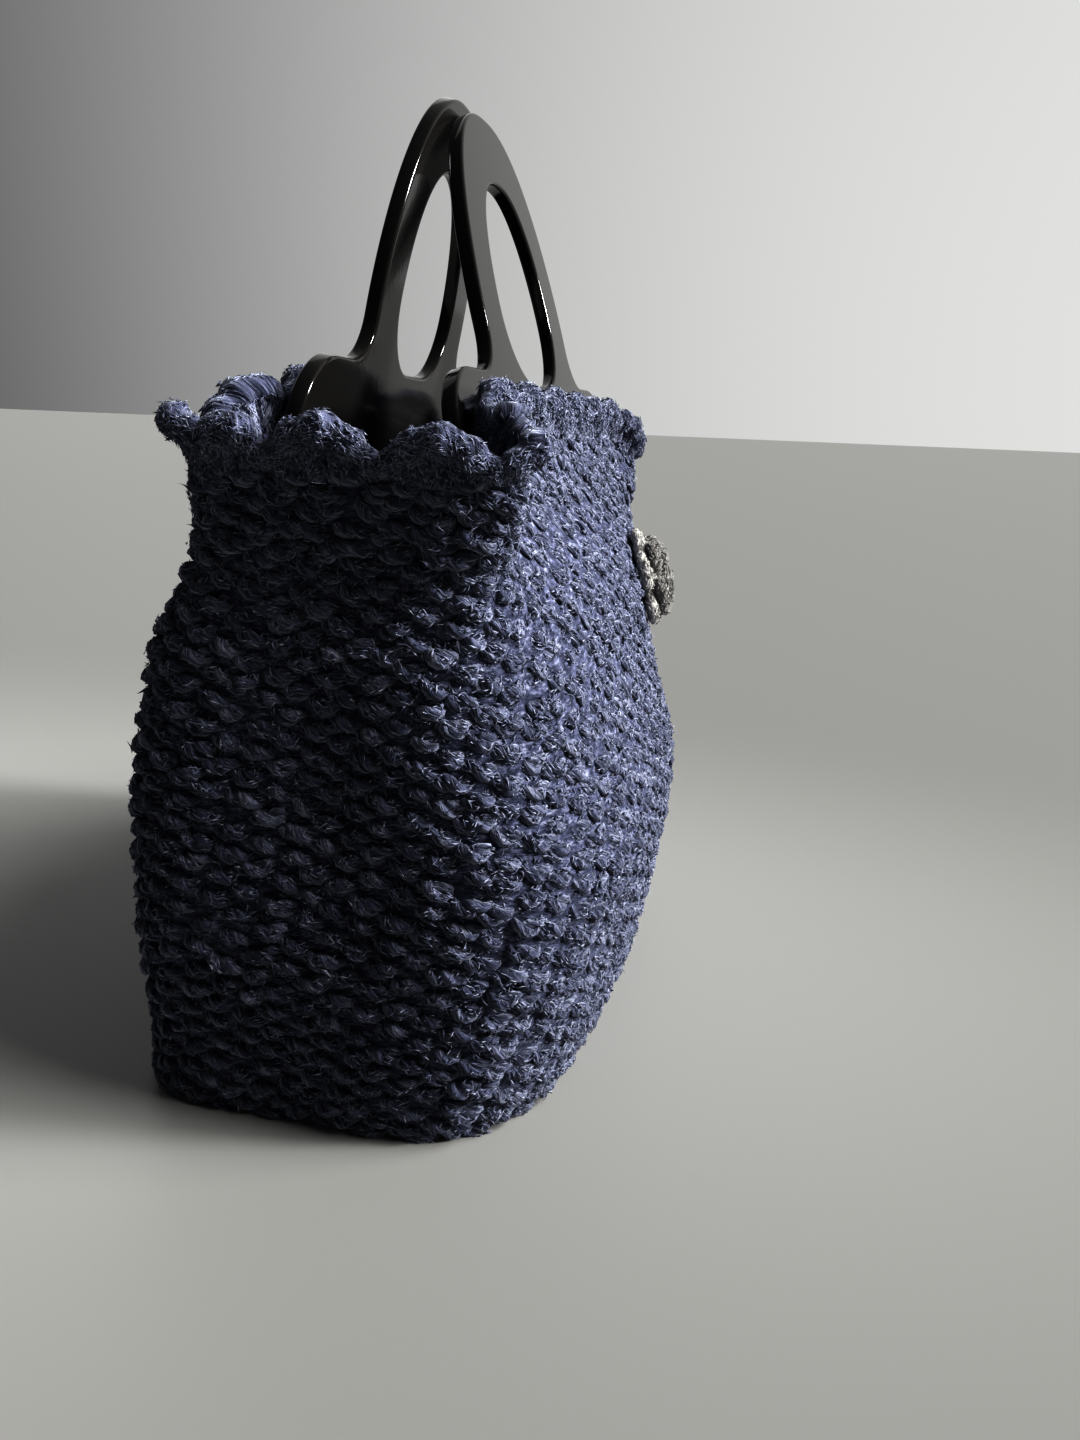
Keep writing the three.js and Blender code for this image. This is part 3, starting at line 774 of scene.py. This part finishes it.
def taper(half, low, high, count):
    """Side of an arch: half width times cos^p, height as sin, from the leg to the crown."""
    a = np.linspace(0, np.pi / 2, count)[1:]
    return np.stack([half * np.cos(a).clip(0)**ARCH_POWER, low + (high - low) * np.sin(a)], -1)


def closed_outline(half):
    """A half outline and its mirror image as one closed loop, counter-clockwise, in even steps."""
    mirror = half[::-1] * (-1, 1)
    keep = np.abs(mirror[:, 0]) > 1e-6
    loop = np.concatenate([half, mirror[keep], half[:1]])
    run = run_along(loop)
    even = np.linspace(0, run[-1], int(run[-1] / OUTLINE_STEP), endpoint=False)
    return np.stack([np.interp(even, run, loop[:, 0]), np.interp(even, run, loop[:, 1])], -1)


def plate_rings(loop, inside):
    """The rounded-over edge of a plate: the outline moved in by r(1 - sin a) while it goes from one face
    to the other, with a narrow flat margin on each face, as loops from the back face to the front."""
    ahead = unit(np.roll(loop, -1, 0) - np.roll(loop, 1, 0))
    into = np.stack([-ahead[:, 1], ahead[:, 0]], -1) * inside
    a = np.linspace(0, np.pi / 2, 5)
    inset = np.concatenate([[EDGE_ROUND + FLAT_MARGIN], EDGE_ROUND * (1 - np.sin(a))])
    level = np.concatenate([[0], EDGE_ROUND * (1 - np.cos(a))])
    inset, level = np.concatenate([inset, inset[::-1]]), np.concatenate([level, PLATE - level[::-1]])
    flat = loop + inset[:, None, None] * into
    return np.concatenate([flat, np.broadcast_to(level[:, None, None], (*flat.shape[:2], 1))], -1)


def lacquer_finish():
    """Black lacquer: a deep black film, slightly uneven in gloss, with fine rubbed marks."""
    finish, tree, shader = new_finish("black_lacquer", {
        "Base Color": (0.011, 0.0105, 0.010, 1), "Specular IOR Level": 0.5})
    spot = tree.nodes.new("ShaderNodeTexCoord")
    cloud = tree.nodes.new("ShaderNodeTexNoise")
    cloud.inputs["Scale"].default_value = 38.0
    cloud.inputs["Detail"].default_value = 6.0
    tree.links.new(spot.outputs["Object"], cloud.inputs["Vector"])
    gloss = tree.nodes.new("ShaderNodeMapRange")
    gloss.inputs["To Min"].default_value = 0.06
    gloss.inputs["To Max"].default_value = 0.13
    tree.links.new(cloud.outputs["Fac"], gloss.inputs["Value"])
    tree.links.new(gloss.outputs[0], shader.inputs["Roughness"])
    film = tree.nodes.new("ShaderNodeTexNoise")
    film.inputs["Scale"].default_value = 420.0
    tree.links.new(spot.outputs["Object"], film.inputs["Vector"])
    bump = tree.nodes.new("ShaderNodeBump")
    bump.inputs["Strength"].default_value = 0.06
    bump.inputs["Distance"].default_value = 0.0003
    tree.links.new(film.outputs["Fac"], bump.inputs["Height"])
    tree.links.new(bump.outputs[0], shader.inputs["Normal"])
    return finish


quarter = np.pi / 2
outer_loop = closed_outline(np.concatenate([
    arc(BAR_HALF - BAR_CORNER, BAR_CORNER, BAR_CORNER, -quarter, 0, count=7),
    arc(BAR_HALF - SHOULDER_CORNER, SHOULDER - SHOULDER_CORNER, SHOULDER_CORNER, 0, quarter, count=20),
    arc(ARCH_HALF + LEG_FILLET, SHOULDER + LEG_FILLET, LEG_FILLET, -quarter, -2 * quarter, count=16),
    taper(ARCH_HALF, SHOULDER + LEG_FILLET, ARCH_TOP, count=60)]))
grip_loop = closed_outline(np.concatenate([
    arc(GRIP_HALF - GRIP_CORNER, GRIP_BOTTOM + GRIP_CORNER, GRIP_CORNER, -quarter, 0, count=24),
    taper(GRIP_HALF, GRIP_BOTTOM + GRIP_CORNER, GRIP_TOP, count=50)]))
outer_rings, grip_rings = plate_rings(outer_loop, 1), plate_rings(grip_loop, -1)
black_lacquer = lacquer_finish()


def plate_mesh():
    """Points and faces of one plate: the two rounded edges as strips of quads, and both faces filled
    between the outline and the grip opening."""
    rows, no, ng = len(outer_rings), len(outer_loop), len(grip_loop)
    points = np.concatenate([outer_rings.reshape(-1, 3), grip_rings.reshape(-1, 3)])

    def strip(count, start, flip):
        """Quads between neighbouring loops of count points, the first of which is point start."""
        k, j = np.meshgrid(np.arange(rows - 1), np.arange(count), indexing="ij")
        a, b = start + k * count + j, start + k * count + (j + 1) % count
        quads = np.stack([a, b, b + count, a + count], -1).reshape(-1, 4)
        return quads[:, ::-1] if flip else quads

    back = [Vector(p) for p in outer_rings[0]], [Vector(p) for p in grip_rings[0]]
    fill = np.array(tessellate_polygon(back))
    low = np.where(fill < no, fill, fill - no + rows * no)
    high = np.where(fill < no, fill + (rows - 1) * no, fill - no + rows * no + (rows - 1) * ng)
    a, b, c = points[low[0, 0]], points[low[0, 1]], points[low[0, 2]]
    facing_up = np.cross(b - a, c - a)[2] > 0
    low, high = (low[:, ::-1], high) if facing_up else (low, high[:, ::-1])
    quads = np.concatenate([strip(no, 0, False), strip(ng, rows * no, True)])
    return points, quads, np.concatenate([low, high])


plate_points, plate_quads, plate_fill = plate_mesh()
plate_corners = np.concatenate([plate_quads.ravel(), plate_fill.ravel()])
plate_sizes = np.concatenate([np.full(len(plate_quads), 4), np.full(len(plate_fill), 3)])
for name, (side, hx, hy, hz, lean, turn) in zip(("handle_front", "handle_back"), HANDLES):
    place = (Matrix.Translation((hx, hy, hz)) @ Matrix.Rotation(np.radians(turn), 4, "Z")
             @ Matrix.Rotation(np.pi / 2 + side * np.radians(lean), 4, "X")
             @ Matrix.Translation((0, BAR_UP, -PLATE)))
    place = np.array(place)
    points = plate_points @ place[:3, :3].T + place[:3, 3]
    make_piece(f"{name}_plate", points, plate_corners, plate_sizes, np.zeros((len(plate_corners), 2)),
               np.full(len(points), MIDDLE_TONE), black_lacquer, [name])


# Flower. Two layers of grey marled petals, the lower wide, flat and pale, the upper smaller, darker
# and cupped, gathered by a wound knot and sewn to the upper front through its middle.
FLOWER_X = 68.0
FLOWER_H = 172.0
PALE_SHADES = [
    (0.34, (0.11, 0.107, 0.101)),
    (0.46, (0.27, 0.264, 0.252)),
    (0.57, (0.41, 0.402, 0.388)),
    (0.70, (0.64, 0.632, 0.615)),
]
GREY_SHADES = [
    (0.34, (0.030, 0.029, 0.027)),
    (0.46, (0.11, 0.107, 0.102)),
    (0.57, (0.20, 0.195, 0.187)),
    (0.70, (0.42, 0.413, 0.400)),
]
PALE_HAIR_SHADES = [(0.0, (0.11, 0.107, 0.101)), (0.5, (0.31, 0.303, 0.290)), (1.0, (0.60, 0.592, 0.575))]
GREY_HAIR_SHADES = [(0.0, (0.03, 0.029, 0.027)), (0.5, (0.13, 0.126, 0.120)), (1.0, (0.44, 0.432, 0.418))]
GREY_GLOW = (0.88, 0.87, 0.84)
pale_yarn = yarn_finish("pale_grey_yarn", PALE_SHADES, GREY_GLOW, twist=0.6, plies=3, sheen=0.6)
grey_yarn = yarn_finish("grey_yarn", GREY_SHADES, GREY_GLOW, twist=0.6, plies=3, sheen=0.6)
pale_hair = brushed_finish("pale_grey_hair", PALE_HAIR_SHADES, GREY_GLOW)
grey_hair = brushed_finish("grey_hair", GREY_HAIR_SHADES, GREY_GLOW)

# the seat on the wall: its fraction of the round, its directions, and the reach along it by fraction
FRONT_SIDE = (0.6, 0.9)
SEAT_SPAN = 0.12
SEAT_LOOK = 5.0
seat_s = np.linspace(*FRONT_SIDE, 3001)
seat_s = seat_s[np.argmin(np.abs(wall(FLOWER_H, seat_s)[:, 0] - FLOWER_X))]
seat_out = outward(wall, np.array([FLOWER_H]), np.array([seat_s]))[0]
seat_along = unit(np.cross((0, 0, 1), seat_out))
seat_up = np.cross(seat_out, seat_along)
seat_grid = seat_s + np.linspace(-SEAT_SPAN, SEAT_SPAN, 241)
seat_reach = (wall(FLOWER_H, seat_grid) - wall(FLOWER_H, seat_s)) @ seat_along
seat_order = np.argsort(seat_reach)
seat_rise = np.linalg.norm(wall(FLOWER_H + SEAT_LOOK, seat_s) - wall(FLOWER_H - SEAT_LOOK, seat_s))
seat_rise = seat_rise / (2 * SEAT_LOOK)
seat_at = wall(FLOWER_H, seat_s) + GAP * seat_out

PETAL_NOTCH = 0.42
PETAL_POWER = 0.5
NOTCH_CUP = 0.3
PETAL_SINK = 0.5
PETAL_INNER, PETAL_OUTER = 0.12, 0.93
PETAL_SWAY = 0.05
PETAL_FANS = 7
PETAL_STEPS = 8
PETAL_THICK = 2.3
PETAL_ROOT_THIN = 0.6
PETAL_WIDTHS = (0.8, 1.2)
PETAL_HAIRS = 1800
PETAL_HAIR_LONG = 5.0
PETAL_HAIR_THICK = 0.3
PETAL_SHEET = 0.5
PETAL_SHEET_FROM, PETAL_SHEET_TO = 0.05, 0.92


def make_petals(name, radius, petals, rise, cup, puff, turned_by, finish, hair, nodes):
    """One layer of petals on the curve of the wall. Part goes from the middle to the rim, whose radius is
    notched between the petals; the height over the wall grows by cup times part squared and each petal
    swells by puff in its middle. Radial strands cover it, two rolled rounds finish it and a closed
    sheet backs it."""
    def surface(part, angle):
        """Point of the layer: a place on the wall, and the height of the petal straight out from it."""
        petal = np.abs(np.sin(petals * angle / 2))**PETAL_POWER
        r = radius * part * (1 - PETAL_NOTCH * part * (1 - petal))
        height = rise + cup * part**2 * (NOTCH_CUP + (1 - NOTCH_CUP) * petal)
        height = height + puff * np.sin(np.pi * np.clip(part, 0, 1)) * petal
        h = FLOWER_H + r * np.sin(angle + turned_by) / seat_rise
        s = np.interp(r * np.cos(angle + turned_by), seat_reach[seat_order], seat_grid[seat_order])
        return wall(h, s) + (height - PETAL_SINK)[..., None] * outward(wall, h, s)

    def normal(part, angle):
        """Outward direction of the layer, by small steps along part and angle."""
        away = surface(part + 0.01, angle) - surface(part - 0.01, angle)
        around = surface(part, angle + 0.004) - surface(part, angle - 0.004)
        return unit(np.cross(away, around))

    spot = np.arange(petals)[:, None] + (np.arange(PETAL_FANS) + 0.5) / PETAL_FANS
    spot = spot.ravel() / petals * 2 * np.pi
    part = np.broadcast_to(np.linspace(PETAL_INNER, PETAL_OUTER, PETAL_STEPS), (len(spot), PETAL_STEPS))
    angle = spot[:, None] + PETAL_SWAY * np.sin(np.pi * part) * chance.normal(0, 1, (len(spot), 1))
    thin = PETAL_THICK * np.linspace(PETAL_ROOT_THIN, 1, PETAL_STEPS)
    thin = thin * chance.uniform(*PETAL_WIDTHS, part.shape)
    path, out = surface(part, angle), normal(part, angle)
    make_strands(f"{name}_strands", path, out, thin, STITCH_SIDES, finish, nodes)
    make_hairs(f"{name}_hairs", path, out, thin, PETAL_HAIRS, PETAL_HAIR_LONG, PETAL_HAIR_THICK, hair)
    for label, reach, lift in (("rim", PETAL_OUTER, 0.0), ("round", 0.62, 0.8)):
        def edge(q):
            """The round at this reach, its outward direction and an even thickness."""
            at = np.full(q.shape, reach), 2 * np.pi * q
            return surface(*at), normal(*at), np.ones(q.shape)

        make_roll(f"{name}_{label}", edge, inset=-lift, thick=2.7, step=1.5, finish=finish, hair=hair,
                  hairs=1100)
    sheet_p = np.linspace(PETAL_SHEET_FROM, PETAL_SHEET_TO, SHEET_ROWS)[:, None]
    sheet_a = np.linspace(0, 2 * np.pi, SHEET_STEPS * petals, endpoint=False)
    sheet_p, sheet_a = np.broadcast_arrays(sheet_p, sheet_a)
    face, out = surface(sheet_p, sheet_a), normal(sheet_p, sheet_a)
    rings = np.concatenate([face + PETAL_SHEET * out, (face - PETAL_SHEET * out)[::-1]])[::-1]
    make_ring(f"{name}_sheet", rings, repeat=(60, 6), finish=finish)


make_petals("lower_petals", radius=24.5, petals=6, rise=2.0, cup=0.6, puff=4.2, turned_by=0.2,
            finish=pale_yarn, hair=pale_hair, nodes=["flower_lower_petals"])
make_petals("upper_petals", radius=19.5, petals=5, rise=6.2, cup=2.2, puff=5.0, turned_by=0.5,
            finish=grey_yarn, hair=grey_hair, nodes=["flower_upper_petals"])

KNOT_RADIUS = 5.0
KNOT_TURNS = 3.2
KNOT_STEPS = 60
KNOT_FOOT = 9.6
KNOT_TALL = 4.6
KNOT_THICK = 1.8
KNOT_SIDES = 8
coil = np.linspace(0, 1, KNOT_STEPS)
coil_angle = 2 * np.pi * KNOT_TURNS * coil
coil_r = KNOT_RADIUS * np.sin(np.pi * (0.12 + 0.86 * coil))**0.7
coil_ray = np.cos(coil_angle)[:, None] * seat_along + np.sin(coil_angle)[:, None] * seat_up
coil_path = seat_at + coil_r[:, None] * coil_ray + (KNOT_FOOT + KNOT_TALL * coil)[:, None] * seat_out
make_strands("flower_knot", coil_path[None], np.broadcast_to(seat_out, coil_path[None].shape),
             np.full((1, KNOT_STEPS), KNOT_THICK), KNOT_SIDES, grey_yarn, ["flower_centre"])


# Floor and light. A plain pale floor under the bag, a broad light high on the flower's side, a weak one
# from behind and a soft lamp toward the front, and a surround that is pale on the flower's side and
# behind the bag and falls off to dark on the other.
FLOOR_HALF = 60.0
pale_floor = new_finish("pale_floor", {"Base Color": (0.32, 0.32, 0.311, 1), "Roughness": 0.45})[0]
floor_corners = [(x * FLOOR_HALF, y * FLOOR_HALF, 0) for x, y in ((-1, -1), (1, -1), (1, 1), (-1, 1))]
floor_mesh = bpy.data.meshes.new("floor")
floor_mesh.from_pydata(floor_corners, [], [(0, 1, 2, 3)])
floor_mesh.materials.append(pale_floor)
floor = bpy.data.objects.new("floor", floor_mesh)
bpy.context.scene.collection.objects.link(floor)


def add_light(name, kind, energy, travel):
    """A light of this kind that shines along travel."""
    light = bpy.data.objects.new(name, bpy.data.lights.new(name, kind))
    light.data.energy = energy
    light.rotation_euler = Vector(travel).to_track_quat("-Z", "Y").to_euler()
    bpy.context.scene.collection.objects.link(light)
    return light


key = add_light("key", "SUN", energy=5.0, travel=(-0.08, 2.0, -2.0))
key.data.angle = np.radians(30)
key.data.color = (1.0, 0.99, 0.97)
key.visible_glossy = False
fill = add_light("fill", "SUN", energy=0.45, travel=(-1.0, -1.0, -0.8))
fill.data.angle = np.radians(60)
front = add_light("front", "SPOT", energy=1150.0, travel=(-0.2, 1.92, -0.71))
front.data.spot_size = np.radians(16)
front.data.spot_blend = 1.0
front.data.shadow_soft_size = 0.3
front.location = (0.2, -2.0, 1.0)

DARK_SIDE = (0.055, 0.056, 0.058, 1)
PALE_SIDE = (0.86, 0.865, 0.855, 1)
TOWARD_PALE = (0.85, -0.52, 0.10)
surround = bpy.data.worlds.new("surround")
surround.use_nodes = True
sky = surround.node_tree
sky_dir = sky.nodes.new("ShaderNodeTexCoord")
sky_dot = sky.nodes.new("ShaderNodeVectorMath")
sky_dot.operation = "DOT_PRODUCT"
sky_dot.inputs[1].default_value = TOWARD_PALE
sky.links.new(sky_dir.outputs["Generated"], sky_dot.inputs[0])
sky_fade = sky.nodes.new("ShaderNodeMapRange")
sky_fade.interpolation_type = "SMOOTHSTEP"
sky_fade.inputs["From Min"].default_value = -0.03
sky_fade.inputs["From Max"].default_value = 1.1
sky.links.new(sky_dot.outputs["Value"], sky_fade.inputs["Value"])
sky_ramp = sky.nodes.new("ShaderNodeValToRGB")
sky_ramp.color_ramp.elements[0].color = DARK_SIDE
sky_ramp.color_ramp.elements[1].color = PALE_SIDE
sky.links.new(sky_fade.outputs[0], sky_ramp.inputs[0])
sky.links.new(sky_ramp.outputs[0], sky.nodes["Background"].inputs[0])
bpy.context.scene.world = surround
bpy.context.scene.view_settings.view_transform = "Standard"
bpy.context.scene.view_settings.gamma = 0.66


# Camera. Held close in front of the bag's near end, a little above the mouth and tilted down; its lens
# and its place come from the outlines of the two equal handles.
LENS_PIXELS = 1029.0
PHOTO_HEIGHT = 1440.0
EYE = (-0.4544, -0.1159, 0.2499)
YAW, PITCH, ROLL = np.radians((9.92, 15.92, 2.31))
view_dir = Vector((np.cos(YAW) * np.cos(PITCH), np.sin(YAW) * np.cos(PITCH), -np.sin(PITCH)))
level_right = Vector((np.sin(YAW), -np.cos(YAW), 0))
level_up = level_right.cross(view_dir)
right = level_right * np.cos(ROLL) + level_up * np.sin(ROLL)
up = level_up * np.cos(ROLL) - level_right * np.sin(ROLL)
lens = bpy.data.cameras.new("camera")
lens.sensor_width = 36
lens.lens = LENS_PIXELS / PHOTO_HEIGHT * lens.sensor_width
camera = bpy.data.objects.new("camera", lens)
camera.matrix_world = Matrix.Translation(EYE) @ Matrix((right, up, -view_dir)).transposed().to_4x4()
bpy.context.scene.collection.objects.link(camera)
bpy.context.scene.camera = camera

bpy.context.view_layer.update()
